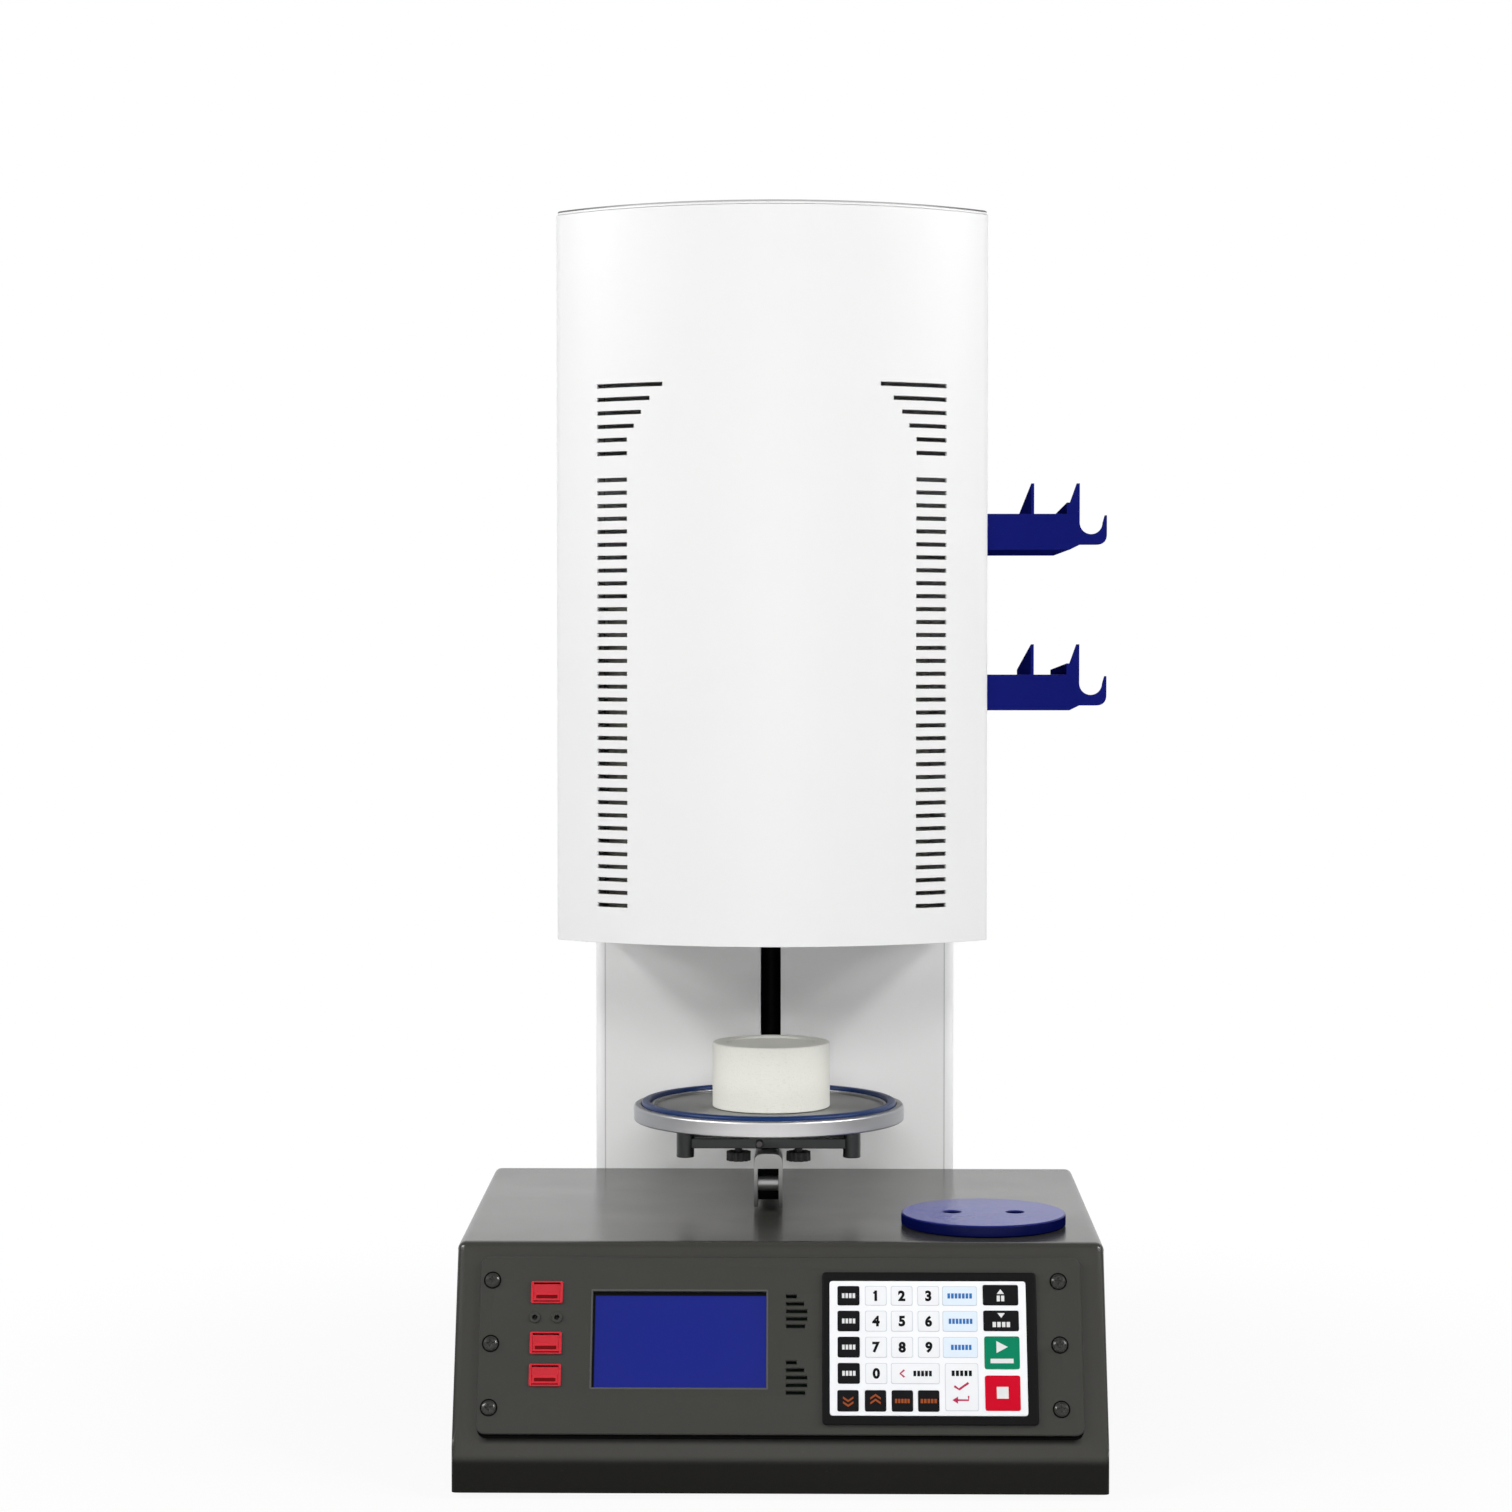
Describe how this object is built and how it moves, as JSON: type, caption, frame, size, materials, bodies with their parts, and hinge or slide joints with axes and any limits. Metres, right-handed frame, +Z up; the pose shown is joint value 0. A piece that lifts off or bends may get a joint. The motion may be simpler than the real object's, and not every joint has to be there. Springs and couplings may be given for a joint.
{
  "type": "dental laboratory press furnace",
  "caption": "Bench-top dental press furnace: grey console with keypad, white column and slotted furnace head, motor lift with sealed plate and firing block.",
  "frame": {"origin": "on the table under the middle of the whole part's box", "axes": "+Z up, -Y towards the operator in front of the console, +X to the operator's right"},
  "size_m": [0.4209, 0.4538, 0.8036],
  "materials": {
    "white_paint": "fine satin powder coat",
    "grey_paint": "semi-gloss warm dark grey paint",
    "panel_paint": "satin warm dark grey paint",
    "blue_paint": "glossy dark blue paint",
    "black_plastic": "moulded black plastic",
    "red_plastic": "moulded red plastic",
    "foil": "printed white foil",
    "screen": "blue backlit display behind clear plastic",
    "rubber": "matt black rubber",
    "blue_silicone": "blue silicone",
    "aluminium": "turned and machined aluminium",
    "steel": "bright steel",
    "zinc_sheet": "zinc plated sheet",
    "black_steel": "blackened steel",
    "brass": "turned brass",
    "ceramic_fibre": "pressed white ceramic fibre",
    "quartz": "fused quartz",
    "alumina": "sintered alumina",
    "circuit_board": "green solder mask"
  },
  "bodies": {
    "frame": {"console_shell": "grey_paint", "floor_plate": "zinc_sheet", "foot_front_left": "rubber", "foot_front_right": "rubber", "foot_rear_left": "rubber", "foot_rear_right": "rubber", "front_panel": "panel_paint", "panel_screw_1": "black_steel", "panel_screw_2": "black_steel", "panel_screw_3": "black_steel", "panel_screw_4": "black_steel", "panel_screw_5": "black_steel", "panel_screw_6": "black_steel", "switch_frame_1": "red_plastic", "switch_frame_2": "red_plastic", "switch_frame_3": "red_plastic", "jack_1": "black_plastic", "jack_2": "black_plastic", "display_glass": "screen", "display_module": "black_plastic", "control_board": "circuit_board", "keypad_frame": "black_plastic", "keypad_foil": "foil", "power_transformer": "black_steel", "mains_inlet": "black_plastic", "fuse_holder": "black_plastic", "vacuum_port": "brass", "column_shell": "white_paint", "column_rear_cover": "white_paint", "lift_motor": "black_steel", "lower_bearing_block": "aluminium", "upper_bearing_block": "aluminium", "guide_rod_left": "steel", "guide_rod_right": "steel", "head_cover": "white_paint", "head_lid": "white_paint", "head_floor": "steel", "head_rear_panel": "white_paint", "heating_muffle": "quartz", "muffle_insulation": "ceramic_fibre", "press_bridge": "zinc_sheet", "press_cylinder": "aluminium", "tong_holder_upper": "blue_paint", "tong_holder_lower": "blue_paint"},
    "lift": {"lift_carriage": "aluminium", "lift_arm": "aluminium", "arm_cross_pin": "steel", "plate_spider": "black_steel", "hub_screw": "steel", "lift_plate": "aluminium", "seal_ring": "blue_silicone"},
    "spindle": {"lift_spindle": "steel"},
    "clamp_knob_left": {"clamp_knob_left": "black_plastic"},
    "clamp_knob_right": {"clamp_knob_right": "black_plastic"},
    "firing_block": {"firing_block": "ceramic_fibre"},
    "plunger": {"press_plunger": "alumina"},
    "rocker_1": {"switch_rocker_1": "red_plastic"},
    "rocker_2": {"switch_rocker_2": "red_plastic"},
    "rocker_3": {"switch_rocker_3": "red_plastic"},
    "tray": {"cooling_tray": "blue_paint"}
  },
  "joints": [
    {"name": "lift_slide", "type": "slide", "parent": "frame", "child": "lift", "axis": [0, 0, 1], "range_m": [0, 0.1225]},
    {"name": "spindle_turn", "type": "hinge", "parent": "frame", "child": "spindle", "pos_m": [-0.01252, 0.1569, 0.2], "axis": [0, 0, 1], "range_deg": [-5, 4500]},
    {"name": "knob_left_turn", "type": "hinge", "parent": "lift", "child": "clamp_knob_left", "pos_m": [-0.03252, -0.0401, 0.1836], "axis": [0, 0, 1], "continuous": true},
    {"name": "knob_right_turn", "type": "hinge", "parent": "lift", "child": "clamp_knob_right", "pos_m": [0.00747, -0.0401, 0.1836], "axis": [0, 0, 1], "continuous": true},
    {"name": "block_lift_off", "type": "slide", "parent": "lift", "child": "firing_block", "axis": [0, 0, 1], "range_m": [0, 0.03]},
    {"name": "plunger_press", "type": "slide", "parent": "frame", "child": "plunger", "axis": [0, 0, -1], "range_m": [0, 0.05]},
    {"name": "rocker_1_tilt", "type": "hinge", "parent": "frame", "child": "rocker_1", "pos_m": [-0.14902, -0.19225, 0.121], "axis": [1, 0, 0], "range_deg": [-14, 0]},
    {"name": "rocker_2_tilt", "type": "hinge", "parent": "frame", "child": "rocker_2", "pos_m": [-0.14902, -0.20397, 0.09165], "axis": [1, 0, 0], "range_deg": [-14, 0]},
    {"name": "rocker_3_tilt", "type": "hinge", "parent": "frame", "child": "rocker_3", "pos_m": [-0.14902, -0.21131, 0.07326], "axis": [1, 0, 0], "range_deg": [-14, 0]},
    {"name": "tray_lift_off", "type": "slide", "parent": "frame", "child": "tray", "axis": [0, 0, 1], "range_m": [0, 0.05]}
  ],
  "couplings": [
    {"joint": "spindle_turn", "follows": "lift_slide", "rad_per_m": 628.32}
  ]
}
